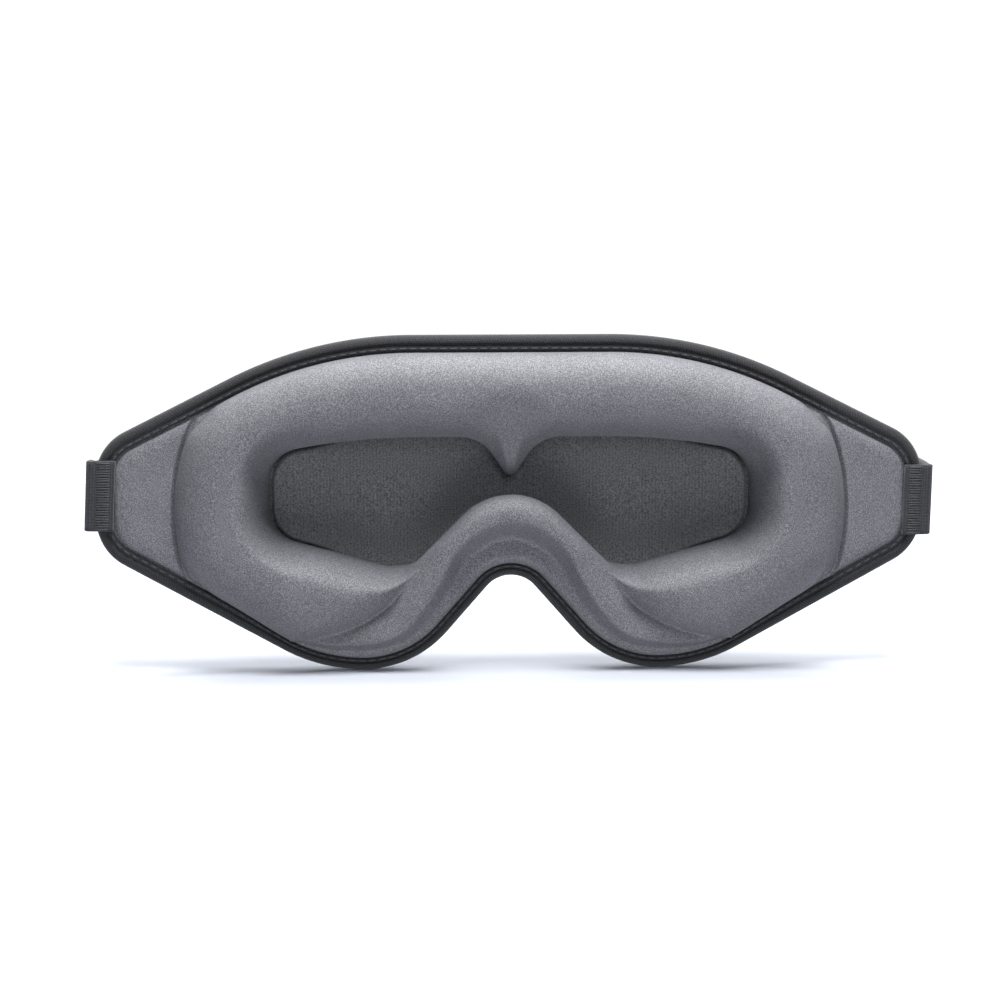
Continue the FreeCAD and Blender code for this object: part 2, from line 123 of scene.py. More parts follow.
def arc(centre, radius, start, end):
    return ("arc", np.array(centre, float), radius, start, end)


def step_length(step):
    if step[0] == "line":
        return float(np.linalg.norm(step[2] - step[1]))
    return abs(math.radians(step[4] - step[3])) * step[2]


def divisions(steps, spacing):
    return [max(2, math.ceil(step_length(step) / spacing)) for step in steps]


def trace(steps, counts):
    """Points along a chain of lines and arcs, each cut into its count of even parts."""
    points = []
    for step, count in zip(steps, counts):
        share = np.arange(count) / count
        if step[0] == "line":
            points.append(step[1] + share[:, None] * (step[2] - step[1]))
        else:
            turn = np.radians(step[3] + share * (step[4] - step[3]))
            ring = np.stack([np.cos(turn), np.sin(turn)], 1)
            points.append(step[1] + step[2] * ring)
    last = steps[-1]
    end = last[2] if last[0] == "line" else on_circle(last[1], last[2], last[4])
    return np.vstack(points + [end[None, :]])


def crossing_tangent(upper, lower, radii):
    """Angle on the first circle where a line leaves it to pass under the second one."""
    span = math.hypot(lower[0] - upper[0], lower[1] - upper[1])
    bearing = math.degrees(math.atan2(lower[1] - upper[1], lower[0] - upper[0]))
    return bearing + math.degrees(math.acos(radii / span))


def slope_corner(start, angle, side, corner_x, radius):
    """Height of a corner's centre, tangent to the line that leaves start at the given angle."""
    turn = math.radians(angle)
    run = corner_x - start[0]
    return start[1] + side * (-radius - run * math.sin(turn)) / math.cos(turn)


LOBE_OUT = (LOBE_PLACE, LOBE_OUTER - LOBE_DEPTH)
LOBE_IN = (LOBE_PLACE, LOBE_INNER - LOBE_DEPTH)
NOSE = (0.0, -NOSE_DEPTH - NOSE_RADIUS)
NOSE_LEAVE = crossing_tangent(NOSE, LOBE_IN, NOSE_RADIUS + LOBE_INNER)


def brow_steps(inset):
    centre = (BROW_FLAT, BROW_HEIGHT - SHOULDER_RADIUS)
    edge = BROW_HEIGHT - inset
    steps = [line((0, edge), (BROW_FLAT, edge)),
             arc(centre, SHOULDER_RADIUS - inset, 90, 90 - SHOULDER_ANGLE)]
    return steps, on_circle(centre, SHOULDER_RADIUS - inset, 90 - SHOULDER_ANGLE)


def lower_inset(inset, squeeze):
    """An inset as it is along the lower edge, where the binding's flange is narrower."""
    share = min(max((inset - TAPE) / (TAPE_WIDTH - TAPE), 0), 1)
    return inset - squeeze * share


def jaw_start(inset, squeeze=LOWER_SQUEEZE):
    return on_circle(LOBE_OUT, LOBE_OUTER - lower_inset(inset, squeeze), JAW_ANGLE - 90)


def lobe_and_nose(inset, squeeze):
    """From the jaw line's end, under the lobe and up to the top of the nose notch."""
    inset = lower_inset(inset, squeeze)
    return [
        arc(LOBE_OUT, LOBE_OUTER - inset, JAW_ANGLE - 90, -90),
        arc(LOBE_IN, LOBE_INNER - inset, -90, NOSE_LEAVE - 180),
        line(on_circle(LOBE_IN, LOBE_INNER - inset, NOSE_LEAVE - 180),
             on_circle(NOSE, NOSE_RADIUS + inset, NOSE_LEAVE)),
        arc(NOSE, NOSE_RADIUS + inset, NOSE_LEAVE, 90),
    ]


def wing_steps(inset, start, end, squeeze):
    """Round the wing, from a point on its upper slope to one on its lower slope."""
    shoulder = brow_steps(inset)[1]
    jaw = jaw_start(inset, squeeze)
    corner_x = WING_REACH - WING_CORNER
    radius = WING_CORNER - inset
    upper = (corner_x, slope_corner(shoulder, SHOULDER_ANGLE, 1, corner_x, radius))
    lower = (corner_x, slope_corner(jaw, JAW_ANGLE, -1, corner_x, radius))
    return [
        line(start, on_circle(upper, radius, 90 - SHOULDER_ANGLE)),
        arc(upper, radius, 90 - SHOULDER_ANGLE, 0),
        line(on_circle(upper, radius, 0), on_circle(lower, radius, 0)),
        arc(lower, radius, 0, JAW_ANGLE - 90),
        line(on_circle(lower, radius, JAW_ANGLE - 90), end),
    ]


def mask_steps(inset, squeeze=LOWER_SQUEEZE):
    """Right half of the mask's edge, moved in by inset, from the brow to the nose notch."""
    steps, shoulder = brow_steps(inset)
    steps += wing_steps(inset, shoulder, jaw_start(inset, squeeze), squeeze)
    return steps + lobe_and_nose(inset, squeeze)


def meet_side(start, rise, centre, radius):
    """Where the line from start, rising by the angle rise, meets the pad's side arc."""
    way = np.array([math.cos(math.radians(rise)), math.sin(math.radians(rise))])
    offset = start - np.array(centre)
    half = float(offset @ way)
    return start + way * (math.sqrt(half * half - float(offset @ offset) + radius * radius) - half)


def pad_side(inset, squeeze=LOWER_SQUEEZE):
    """The pad's side arc from its upper to its lower corner, and the two corners."""
    centre = (PAD_REACH - PAD_SIDE_RADIUS, PAD_SIDE_HEIGHT)
    radius = PAD_SIDE_RADIUS - inset
    upper = meet_side(brow_steps(PAD_INSET + inset)[1], -SHOULDER_ANGLE, centre, radius)
    below = meet_side(jaw_start(PAD_INSET + inset, squeeze), JAW_ANGLE, centre, radius)
    angles = [math.degrees(math.atan2(p[1] - centre[1], p[0] - centre[0])) for p in (upper, below)]
    return arc(centre, radius, *angles), upper, below


def pad_steps(inset, squeeze=LOWER_SQUEEZE):
    """Right half of the raised pad's edge, moved in by inset."""
    steps, shoulder = brow_steps(PAD_INSET + inset)
    side, upper, below = pad_side(inset, squeeze)
    steps += [line(shoulder, upper), side, line(below, jaw_start(PAD_INSET + inset, squeeze))]
    return steps + lobe_and_nose(PAD_INSET + inset, squeeze)


def eased_trace(steps_at, inset, counts):
    """An outline whose lower flange widens from the lobes to the wings, as the real tape does."""
    narrow, wide = (trace(steps_at(inset, squeeze), counts) for squeeze in (LOWER_SQUEEZE, 0.0))
    share = ease((narrow[:, :1] - 60) / 27)
    return narrow + share * (wide - narrow)


def cavity_steps(outset, reach=CAVITY_REACH):
    """Right half of the eye cavities' edge, moved out by outset, from the pinch to the ridge."""
    ridge = (0, RIDGE_TOP - RIDGE_RADIUS)
    cheek = (CHEEK_PLACE, CHEEK_RADIUS - CHEEK_DEPTH)
    tip = (0, PINCH_TIP + PINCH_END)
    pinch = (PINCH_PLACE, CAVITY_TOP - PINCH_RADIUS)
    arch = (ARCH_PLACE, CAVITY_TOP - CAVITY_ARCH)
    corner_x = reach - CAVITY_CORNER
    rise = math.degrees(math.acos((corner_x - arch[0]) / (CAVITY_ARCH - CAVITY_CORNER)))
    upper = (corner_x, on_circle(arch, CAVITY_ARCH - CAVITY_CORNER, rise)[1])
    cheek_end = on_circle(cheek, CHEEK_RADIUS, CHEEK_ANGLE - 90)
    lower = (corner_x, slope_corner(cheek_end, CHEEK_ANGLE, -1, corner_x, CAVITY_CORNER))
    leave = crossing_tangent(ridge, cheek, RIDGE_RADIUS + CHEEK_RADIUS)
    flank = -crossing_tangent((tip[0], -tip[1]), (pinch[0], -pinch[1]), PINCH_END + PINCH_RADIUS)
    corner = CAVITY_CORNER + outset
    top = CAVITY_TOP + outset
    return [
        arc(tip, PINCH_END - outset, -90, flank),
        line(on_circle(tip, PINCH_END - outset, flank),
             on_circle(pinch, PINCH_RADIUS + outset, flank + 180)),
        arc(pinch, PINCH_RADIUS + outset, flank + 180, 90),
        line((PINCH_PLACE, top), (ARCH_PLACE, top)),
        arc(arch, CAVITY_ARCH + outset, 90, rise),
        arc(upper, corner, rise, 0),
        line(on_circle(upper, corner, 0), on_circle(lower, corner, 0)),
        arc(lower, corner, 0, CHEEK_ANGLE - 90),
        line(on_circle(lower, corner, CHEEK_ANGLE - 90),
             on_circle(cheek, CHEEK_RADIUS + outset, CHEEK_ANGLE - 90)),
        arc(cheek, CHEEK_RADIUS + outset, CHEEK_ANGLE - 90, leave - 180),
        line(on_circle(cheek, CHEEK_RADIUS + outset, leave - 180),
             on_circle(ridge, RIDGE_RADIUS - outset, leave)),
        arc(ridge, RIDGE_RADIUS - outset, leave, 90),
    ]


def run_of(points):
    """Length along a line of points, up to each of them."""
    return np.concatenate([[0.0], np.cumsum(np.linalg.norm(np.diff(points, axis=0), axis=1))])


class Edge:
    """A dense open line in the plane of the mask, which other points are measured from."""

    def __init__(self, points):
        self.points = points
        self.run = run_of(points)
        self.tree = kdtree.KDTree(len(points))
        for number, point in enumerate(points):
            self.tree.insert((point[0], point[1], 0.0), number)
        self.tree.balance()

    def at(self, run):
        """Points at the given lengths along the line."""
        return np.stack([np.interp(run, self.run, self.points[:, axis]) for axis in (0, 1)], 1)

    def nearest(self, where):
        """Distance to each point of where, and the length along the line of the nearest place."""
        hits = np.array([self.tree.find((p[0], p[1], 0.0))[1] for p in where])
        best = np.full(len(where), np.inf)
        place = np.zeros(len(where))
        for shift in (-1, 0):
            first = np.clip(hits + shift, 0, len(self.points) - 2)
            start, end = self.points[first], self.points[first + 1]
            along = end - start
            share = np.einsum("ij,ij->i", where - start, along) / np.einsum("ij,ij->i", along, along)
            share = np.clip(share, 0, 1)
            gap = np.linalg.norm(where - start - share[:, None] * along, axis=1)
            closer = gap < best
            best = np.where(closer, gap, best)
            span = self.run[first + 1] - self.run[first]
            place = np.where(closer, self.run[first] + share * span, place)
        return best, place


def edge_of(steps):
    return Edge(trace(steps, divisions(steps, FINE)))


class TwoEdges:
    """Two lines that are measured from as one."""

    def __init__(self, first, second):
        self.edges = (first, second)

    def nearest(self, where):
        return np.minimum(*(edge.nearest(where)[0] for edge in self.edges)), None


def inside(where, polygon):
    """True for the points that lie in the closed polygon."""
    odd = np.zeros(len(where), bool)
    x, z = where[:, 0], where[:, 1]
    for start, end in zip(polygon, np.roll(polygon, -1, axis=0)):
        crosses = (start[1] > z) != (end[1] > z)
        if crosses.any():
            at = start[0] + (z - start[1]) * (end[0] - start[0]) / (end[1] - start[1] + 1e-12)
            odd ^= crosses & (x < at)
    return odd


# --- curves of a section ---

def swell(share, power=2.0):
    """Rises from 0 to 1 like the quarter of a rounded square: upright at 0 and level at 1."""
    return (1 - (1 - np.clip(share, 0, 1)) ** power) ** (1 / power)


def ease(share):
    share = np.clip(share, 0, 1)
    return share * share * (3 - 2 * share)


def smooth_min(a, b, k):
    h = np.clip(0.5 + 0.5 * (b - a) / k, 0, 1)
    return b * (1 - h) + a * h - k * h * (1 - h)


def smooth_max(a, b, k):
    return -smooth_min(-a, -b, k)


def smooth_path(points, per_span):
    """A smooth line through the points, with its ends straight."""
    points = np.array(points, float)
    padded = np.vstack([2 * points[0] - points[1], points, 2 * points[-1] - points[-2]])
    out = []
    for a, b, c, d in zip(padded, padded[1:], padded[2:], padded[3:]):
        for t in np.arange(per_span) / per_span:
            out.append(0.5 * (2 * b + (c - a) * t + (2 * a - 5 * b + 4 * c - d) * t * t
                              + (3 * b - a - 3 * c + d) * t ** 3))
    return np.vstack(out + [points[-1]])


# --- meshes ---

def new_piece(name, vertices, faces, material, sharp):
    """A mesh piece in metres from vertices in millimetres."""
    mesh = bpy.data.meshes.new(name)
    mesh.from_pydata((np.asarray(vertices) * MM).tolist(), [], faces)
    mesh.validate()
    mesh.shade_smooth()
    mesh.set_sharp_from_angle(angle=math.radians(sharp))
    piece = bpy.data.objects.new(name, mesh)
    bpy.context.scene.collection.objects.link(piece)
    mesh.materials.append(material)
    return piece


def grid_faces(rows, columns, first=0, cyclic=False, flip=False):
    """Quads of a grid of rows by columns, rows joined end to start if cyclic."""
    faces = []
    for i in range(rows if cyclic else rows - 1):
        j = (i + 1) % rows
        for k in range(columns - 1):
            quad = (first + i * columns + k, first + i * columns + k + 1,
                    first + j * columns + k + 1, first + j * columns + k)
            faces.append(quad[::-1] if flip else quad)
    return faces


def closed_shell(top, bottom, cyclic):
    """Vertices and faces of the solid between two grids of the same size, rows x columns x 3."""
    rows, columns = top.shape[:2]
    count = rows * columns
    vertices = np.vstack([top.reshape(-1, 3), bottom.reshape(-1, 3)])
    faces = grid_faces(rows, columns, 0, cyclic) + grid_faces(rows, columns, count, cyclic, True)
    for i in range(rows if cyclic else rows - 1):
        j = (i + 1) % rows
        for k, flip in ((0, True), (columns - 1, False)):
            quad = (i * columns + k, count + i * columns + k, count + j * columns + k, j * columns + k)
            faces.append(quad if flip else quad[::-1])
    if not cyclic:
        for k in range(columns - 1):
            faces.append((k, k + 1, count + k + 1, count + k)[::-1])
            last = (rows - 1) * columns
            faces.append((last + k, last + k + 1, count + last + k + 1, count + last + k))
    return vertices, faces


def tidy_normals(piece):
    """Turns all faces outwards and merges points that coincide."""
    work = bmesh.new()
    work.from_mesh(piece.data)
    bmesh.ops.remove_doubles(work, verts=work.verts, dist=1e-6)
    bmesh.ops.recalc_face_normals(work, faces=work.faces)
    work.to_mesh(piece.data)
    work.free()
    piece.data.update()


def shell_piece(name, flat, rise, under, material):
    """The solid between two surfaces over the same flat grid, as a piece."""
    vertices, faces = closed_shell(lift(flat, rise), lift(flat, under), False)
    piece = new_piece(name, vertices, faces, material, sharp=60)
    tidy_normals(piece)
    return piece


def both_halves(half):
    """A closed loop of rows from the rows of the right half, whose first and last lie on x = 0."""
    mirror = half[-2:0:-1].copy()
    mirror[..., 0] *= -1
    return np.concatenate([half, mirror])


def lift(flat, rise):
    """Points in space from points (x, z) and their rise towards the face."""
    return np.stack([flat[..., 0], -rise, flat[..., 1]], -1)


# --- materials ---

class Nodes:
    """A short way to write a material's nodes."""

    def __init__(self, name):
        self.material = bpy.data.materials.new(name)
        self.material.use_nodes = True
        self.tree = self.material.node_tree
        self.shader = self.tree.nodes["Principled BSDF"]

    def add(self, kind, inputs=None, **settings):
        node = self.tree.nodes.new("ShaderNode" + kind)
        for key, value in settings.items():
            setattr(node, key, value)
        return self.feed(node, inputs or {})

    def feed(self, node, inputs):
        for key, value in inputs.items():
            if isinstance(value, bpy.types.NodeSocket):
                self.tree.links.new(value, node.inputs[key])
            else:
                node.inputs[key].default_value = value
        return node

    def set(self, **values):
        for key, value in values.items():
            self.shader.inputs[key.replace("_", " ")].default_value = value

    def link(self, socket, name):
        self.tree.links.new(socket, self.shader.inputs[name])

    def coordinates(self, kind="Object"):
        return self.add("TexCoord").outputs[kind]

    def noise(self, vector, scale, detail=2.0, roughness=0.5):
        inputs = {"Vector": vector, "Scale": scale, "Detail": detail, "Roughness": roughness}
        return self.add("TexNoise", inputs).outputs["Fac"]

    def spread(self, value, low, high, out_low=0.0, out_high=1.0):
        inputs = {"Value": value, "From Min": low, "From Max": high,
                  "To Min": out_low, "To Max": out_high}
        return self.add("MapRange", inputs).outputs["Result"]

    def mix(self, share, a, b):
        return self.add("Mix", {0: share, 6: a, 7: b}, data_type="RGBA").outputs[2]

    def maths(self, operation, a, b):
        return self.add("Math", {0: a, 1: b}, operation=operation).outputs[0]

    def bump(self, height, distance, strength=1.0, below=None):
        inputs = {"Height": height, "Distance": distance, "Strength": strength}
        if below is not None:
            inputs["Normal"] = below
        return self.add("Bump", inputs).outputs["Normal"]


def tone(red, green, blue):
    return (red, green, blue, 1.0)


def satin_knit(name, dark, light, grain=0.0003, sheen=0.12, rough=0.58, depth=0.00007):
    """Fine knit with a silky face: a speckle of brighter and darker loops over a soft colour."""
    n = Nodes(name)
    where = n.coordinates()
    speckle = n.noise(where, 1 / grain, 1.5, 0.6)
    fine = n.noise(where, 2.3 / grain, 1.0)
    cloud = n.noise(where, 90.0, 2.0)
    share = n.spread(speckle, 0.4, 0.68)
    share = n.maths("ADD", n.maths("MULTIPLY", share, 0.75), n.maths("MULTIPLY", fine, 0.25))
    share = n.maths("ADD", share, n.spread(cloud, 0.3, 0.7, -0.04, 0.04))
    n.link(n.mix(share, dark, light), "Base Color")
    n.link(n.spread(speckle, 0.3, 0.7, rough + 0.08, rough - 0.08), "Roughness")
    n.link(n.bump(speckle, depth, 0.5, n.bump(fine, depth / 2, 0.5)), "Normal")
    n.set(Specular_IOR_Level=0.45, Sheen_Weight=sheen, Sheen_Roughness=0.35)
    return n.material


def ribbed_tape(name, dark, light, pitch=0.0008, cross=0.0006, slant=0.4, depth=0.00008):
    """Woven tape, laid out by its UV map in metres: ribs across it and finer ones along it."""
    n = Nodes(name)
    uv = n.coordinates("UV")
    split = n.add("SeparateXYZ", {"Vector": uv})
    along, across = split.outputs["X"], split.outputs["Y"]
    leaned = n.maths("ADD", along, n.maths("MULTIPLY", across, slant))
    wave = n.maths("SINE", n.maths("MULTIPLY", leaned, 2 * math.pi / pitch), 0.0)
    rows = n.maths("SINE", n.maths("MULTIPLY", across, 2 * math.pi / cross), 0.0)
    weave = n.maths("ADD", n.maths("MULTIPLY", wave, 0.3), n.maths("MULTIPLY", rows, 0.15))
    fuzz = n.spread(n.noise(n.coordinates(), 2600.0, 2.0, 0.6), 0.3, 0.7)
    height = n.maths("ADD", weave, fuzz)
    n.link(n.mix(n.spread(height, -0.2, 1.3), dark, light), "Base Color")
    n.link(n.bump(height, depth, 0.7), "Normal")
    n.set(Roughness=0.75, Specular_IOR_Level=0.3, Sheen_Weight=0.25, Sheen_Roughness=0.5)
    return n.material


def matte_knit(name, dark, light):
    """Open matte knit of the lining: small rows of loops with a little fluff."""
    n = Nodes(name)
    where = n.coordinates()
    loops = n.add("TexWave", {"Vector": where, "Scale": 330.0, "Distortion": 1.2, "Detail": 2.0,
                              "Detail Scale": 6.0}, wave_type="BANDS", bands_direction="X")
    speckle = n.noise(where, 2400.0, 2.0, 0.6)
    share = n.maths("ADD", n.maths("MULTIPLY", loops.outputs["Fac"], 0.12),
                    n.spread(speckle, 0.3, 0.7, 0.0, 0.88))
    n.link(n.mix(share, dark, light), "Base Color")
    n.link(n.bump(speckle, 0.00008, 0.6), "Normal")
    n.set(Roughness=0.9, Specular_IOR_Level=0.15, Sheen_Weight=0.1, Sheen_Roughness=0.6)
    return n.material


def thread(name, dark, light):
    n = Nodes(name)
    twist = n.noise(n.coordinates(), 3500.0, 2.0)
    n.link(n.mix(n.spread(twist, 0.35, 0.65), dark, light), "Base Color")
    n.link(n.bump(twist, 0.00005, 0.6), "Normal")
    n.set(Roughness=0.5, Specular_IOR_Level=0.4, Sheen_Weight=0.15)
    return n.material


def moulded_plastic(name, colour, worn):
    n = Nodes(name)
    where = n.coordinates()
    grain = n.noise(where, 2200.0, 3.0)
    scuff = n.noise(where, 260.0, 4.0, 0.7)
    n.link(n.mix(n.spread(scuff, 0.45, 0.75), colour, worn), "Base Color")
    n.link(n.spread(scuff, 0.3, 0.7, 0.34, 0.5), "Roughness")
    n.link(n.bump(grain, 0.00003, 0.4), "Normal")
    n.set(Specular_IOR_Level=0.5)
    return n.material


PAD = satin_knit("pad_satin", tone(0.079, 0.08, 0.095), tone(0.358, 0.356, 0.383), sheen=0.04)
FRONT = satin_knit("front_knit", tone(0.05, 0.051, 0.06), tone(0.19, 0.19, 0.205), sheen=0.15)
LINING = matte_knit("lining_knit", tone(0.06, 0.061, 0.065), tone(0.26, 0.264, 0.27))
BINDING = ribbed_tape("binding_tape", tone(0.009, 0.009, 0.0105), tone(0.045, 0.0457, 0.05))
ELASTIC = ribbed_tape("strap_elastic", tone(0.018, 0.018, 0.022), tone(0.075, 0.075, 0.085),
                      pitch=0.0007, cross=0.0009, slant=0.0)
THREAD = thread("sewing_thread", tone(0.03, 0.03, 0.035), tone(0.09, 0.09, 0.1))
PLASTIC = moulded_plastic("fitting_plastic", tone(0.012, 0.012, 0.013), tone(0.03, 0.03, 0.032))


# --- raised pad ---

PAD_EDGE = Edge(eased_trace(pad_steps, 0, divisions(pad_steps(0), FINE)))
WALL_REACH = 68.8                 # half length of the gap in the pad, longer than the lining's panel
CAVITY_EDGE = edge_of(cavity_steps(0, WALL_REACH))

PAD_FOOT = 1.9                    # rise of the pad's edge
RING_WIDTH, RING_POWER = 15.0, 2.1
GROOVE, GROOVE_WIDTH = 2.0, 6.0   # the groove round the far ends of the lining's panel
LEAN = 3.0                        # how far the cavity's wall leans back under the nose roll
CORNER_POWER = 4.5                # how much the pad's two side corners are rounded off
NOTCH_REACH = 80.0                # length of the nose roll along the pad's edge
FAR_BELOW = 20.0                  # how deep a shape is put where it has no part in the pad

# Places on the pad's edge and on the cavity's edge that face each other.
FACING = [
    ((20.0, 41.6), (14.5, 17.5)),
    ((60.0, 37.0), (52.0, 15.6)),
    ((89.0, 22.0), (65.0, 11.0)),
    ((95.0, -3.0), (68.0, -0.6)),
    ((91.5, -23.0), (65.0, -10.5)),
    ((42.0, -45.2), (34.5, -18.4)),
    ((10.0, -23.4), (14.0, -4.2)),
]

# Lower edge of the cheek pad, from the lobe to the corner of the cavity.
CHEEK_CREASE = [(63.5, -40.2), (56.5, -39.9), (51.0, -39.0), (45.7, -37.4), (39.8, -34.4),
                (34.1, -30.2), (29.5, -25.6), (25.6, -20.6), (22.6, -15.6), (18.0, -8.0)]

# The nose roll, by the length along the pad's edge from the top of the notch: the distance
# of its crest from the edge, the crest's rise, the width of the flat skirt below it, the
# rise of the skirt, the width of the roll beyond its crest, and that of its steep side.
ROLL = np.array([
    (0.0, 13.9, 12.4, 6.6, 4.3, 8.0, 3.6),
    (8.4, 11.3, 12.0, 5.4, 4.3, 8.4, 3.8),
    (16.3, 9.0, 11.4, 3.8, 4.2, 9.2, 4.0),
    (24.4, 7.2, 10.7, 2.6, 4.2, 10.0, 4.6),
    (31.0, 6.7, 10.2, 2.3, 4.1, 10.5, 5.5),
    (38.0, 5.8, 9.4, 2.2, 4.1, 10.5, 6.5),
    (44.0, 5.5, 9.1, 2.2, 4.0, 10.0, 7.5),
    (50.0, 5.5, 8.8, 2.2, 4.0, 9.5, 9.0),
    (57.0, 4.8, 8.0, 1.9, 3.8, 8.5, 9.0),
    (65.0, 3.4, 6.8, 1.3, 3.5, 7.0, 9.0),
    (72.0, 2.2, 5.6, 0.8, 3.1, 5.0, 9.0),
    (80.0, 1.3, 3.6, 0.5, 2.4, 3.0, 9.0),
])


def ring_rise(where, to_cavity):
    """Rise of the padded ring round the eyes, without the nose roll."""
    x, z = np.abs(where[:, 0]), where[:, 1]
    long_share, side_share = (np.clip(edge.nearest(where)[0] / RING_WIDTH, 0, 1)
                              for edge in (RING_LONG_EDGE, RING_SIDE_EDGE))
    lost = (1 - long_share) ** CORNER_POWER + (1 - side_share) ** CORNER_POWER
    share = 1 - lost ** (1 / CORNER_POWER)
    outward = PAD_FOOT + (PAD_RISE - PAD_FOOT) * swell(share, RING_POWER)
    outward = np.where(inside(where, RING_AREA), outward, -FAR_BELOW)
    outward = outward - FAR_BELOW * ease((21 - x) / 8) * (z < 2)
    at_end = ease((x - 52) / 14)
    at_pinch = ease((13 - x) / 10) * ease((z - 1) / 4)
    width = 11.5 + 2.5 * at_end + 6.5 * at_pinch
    power = 2.1 + 0.4 * at_end - 0.2 * at_pinch
    climb = swell(to_cavity / width, power)
    slope = smooth_min(to_cavity / 6.0, 1.0, 0.45)
    shoulder = 1 - (1 - np.clip(to_cavity / 15.0, 0, 1)) ** 4
    climb += at_end * ((slope + shoulder) / 2 - climb)
    inward = -FLOOR_Y + (PAD_RISE + FLOOR_Y) * climb
    return smooth_min(outward, inward, 1.2)


def roll_rise(where, to_cavity):
    """Rise of the roll that runs over the nose and along the lobes."""
    gap, place = NOTCH_EDGE.nearest(where)
    crest, height, skirt, skirt_rise, beyond, steep = [
        np.interp(place, ROLL[:, 0], ROLL[:, column]) for column in range(1, 7)]
    puff = 0.8 * (1 - ease(place / 45))
    foot = PAD_FOOT + (skirt_rise - PAD_FOOT + puff) * swell(gap / 3.0)
    foot = foot - puff * ease((gap - 2.2) / 7.0)
    share = np.clip((gap - skirt) / (crest - skirt), 0, 1)
    climb = ease(share) * 0.55 + (1 - (1 - share ** 2) ** 2) * 0.45
    face = foot + (height - skirt_rise) * climb
    back = height * swell(1 - (gap - crest) / beyond, 2.0)
    wall = -FLOOR_Y + (height + FLOOR_Y) * swell(to_cavity / steep, 2.0)
    rise = np.where(gap > crest, back, face)
    rise = smooth_min(rise, wall, 0.8)
    return np.where(place > NOTCH_REACH - 0.5, -FAR_BELOW, rise)


def facing_rows(count):
    """Points on the pad's edge and on the cavity's edge, in pairs, from the brow to the nose."""
    keys = np.array([[0.0, 0.0]] + [
        [PAD_EDGE.nearest(np.array([outer]))[1][0], CAVITY_EDGE.nearest(np.array([inner]))[1][0]]
        for outer, inner in FACING] + [[PAD_EDGE.run[-1], CAVITY_EDGE.run[-1]]])
    shared = keys[:, 0] / keys[-1, 0] * 0.65 + keys[:, 1] / keys[-1, 1] * 0.35
    at = np.linspace(0, 1, count)
    pairs = []
    for column, edge in enumerate((PAD_EDGE, CAVITY_EDGE)):
        pairs.append(edge.at(np.interp(at, shared, keys[:, column])))
    return pairs


notch_start = PAD_EDGE.run[-1] - NOTCH_REACH
NOTCH_EDGE = Edge(PAD_EDGE.points[PAD_EDGE.run >= notch_start][::-1])
crease = smooth_path(CHEEK_CREASE, 24)
crease_place = PAD_EDGE.nearest(crease[:1])[1][0]
RING_EDGE = np.vstack([PAD_EDGE.points[PAD_EDGE.run < crease_place], crease])
corners = [PAD_EDGE.nearest(np.array([corner]))[1][0] for corner in pad_side(0, 0.0)[1:]]
edge_run = run_of(RING_EDGE)
RING_SIDE_EDGE = Edge(RING_EDGE[(edge_run > corners[0]) & (edge_run < corners[1])])
above, below = RING_EDGE[edge_run <= corners[0]], RING_EDGE[edge_run >= corners[1]]
RING_LONG_EDGE = TwoEdges(Edge(above), Edge(below))
RING_AREA = np.vstack([RING_EDGE, [(0.0, 2.0), (-1.0, 2.0), (-1.0, RING_EDGE[0, 1])]])

PAD_ROWS, PAD_COLUMNS = 620, 96
outer_row, inner_row = facing_rows(PAD_ROWS)
outer_row[[0, -1], 0] = inner_row[[0, -1], 0] = 0.0
across = 0.5 - 0.5 * np.cos(np.linspace(0, math.pi, PAD_COLUMNS))
flat = outer_row[:, None, :] + across[None, :, None] * (inner_row - outer_row)[:, None, :]
spots = flat.reshape(-1, 2)
cavity_gap = CAVITY_EDGE.nearest(spots)[0]
near = (spots[:, 0] < 16) & (spots[:, 1] > 3)
other_gap = CAVITY_EDGE.nearest(spots[near] * [-1, 1])[0]
blend_width = np.clip(1.6 * cavity_gap[near], 0.02, 9.0)
cavity_gap[near] = smooth_min(cavity_gap[near], other_gap, blend_width)
softness = 0.5 + 3.5 * ease(1 - cavity_gap / 14)
rise = smooth_max(ring_rise(spots, cavity_gap), roll_rise(spots, cavity_gap), softness)
rise = rise.reshape(flat.shape[:2])
rise[:, 0] = PAD_FOOT
sink = GROOVE * ease((inner_row[:, 0] - 60) / 8)
groove_share = np.clip(1 - cavity_gap.reshape(rise.shape) / GROOVE_WIDTH, 0, 1) ** 2
rise -= sink[:, None] * groove_share
rise[:, -1] = -FLOOR_Y - 0.3 - sink

# The wall of the cavity leans back under the nose roll.
lean = LEAN * (1 - ease((inner_row[:, 0] - 22) / 12)) * (inner_row[:, 1] < 4)
way = np.gradient(inner_row, axis=0)
away = np.stack([way[:, 1], -way[:, 0]], 1) / np.linalg.norm(way, axis=1)[:, None]
away *= np.sign(np.einsum("ij,ij->i", away, outer_row - inner_row))[:, None]
leaning = ease((7.0 - rise) / (8.0 + FLOOR_Y)) * ease(across * 3 - 1)[None, :]
flat = flat + (lean[:, None] * leaning)[..., None] * away[:, None, :]
under = (PAD_FOOT - SKIN) + across[None, :] * (-FLOOR_Y - 0.6 - PAD_FOOT + SKIN)
under = under - across[None, :] ** 4 * sink[:, None]
top, bottom = both_halves(lift(flat, rise)), both_halves(lift(flat, under))
vertices, faces = closed_shell(top, bottom, True)
pad = new_piece("face_pad", vertices, faces, PAD, sharp=70)
tidy_normals(pad)
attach(pad, "mask")
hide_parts("pad_foam", "pad_fabric")


# --- flat wings beside the pad ---

WING_TUCK = 4.5                   # inset of the wing fabric's edge, under the binding
WING_REACH_IN = 6.0               # how far the wing fabric runs in under the pad
WING_UNDERSIDE = 1.25
WING_ROWS, WING_COLUMNS = 220, 96
SEAM_WIDTH, SEAM_DEPTH = 1.3, 1.5   # groove where the wing meets the pad


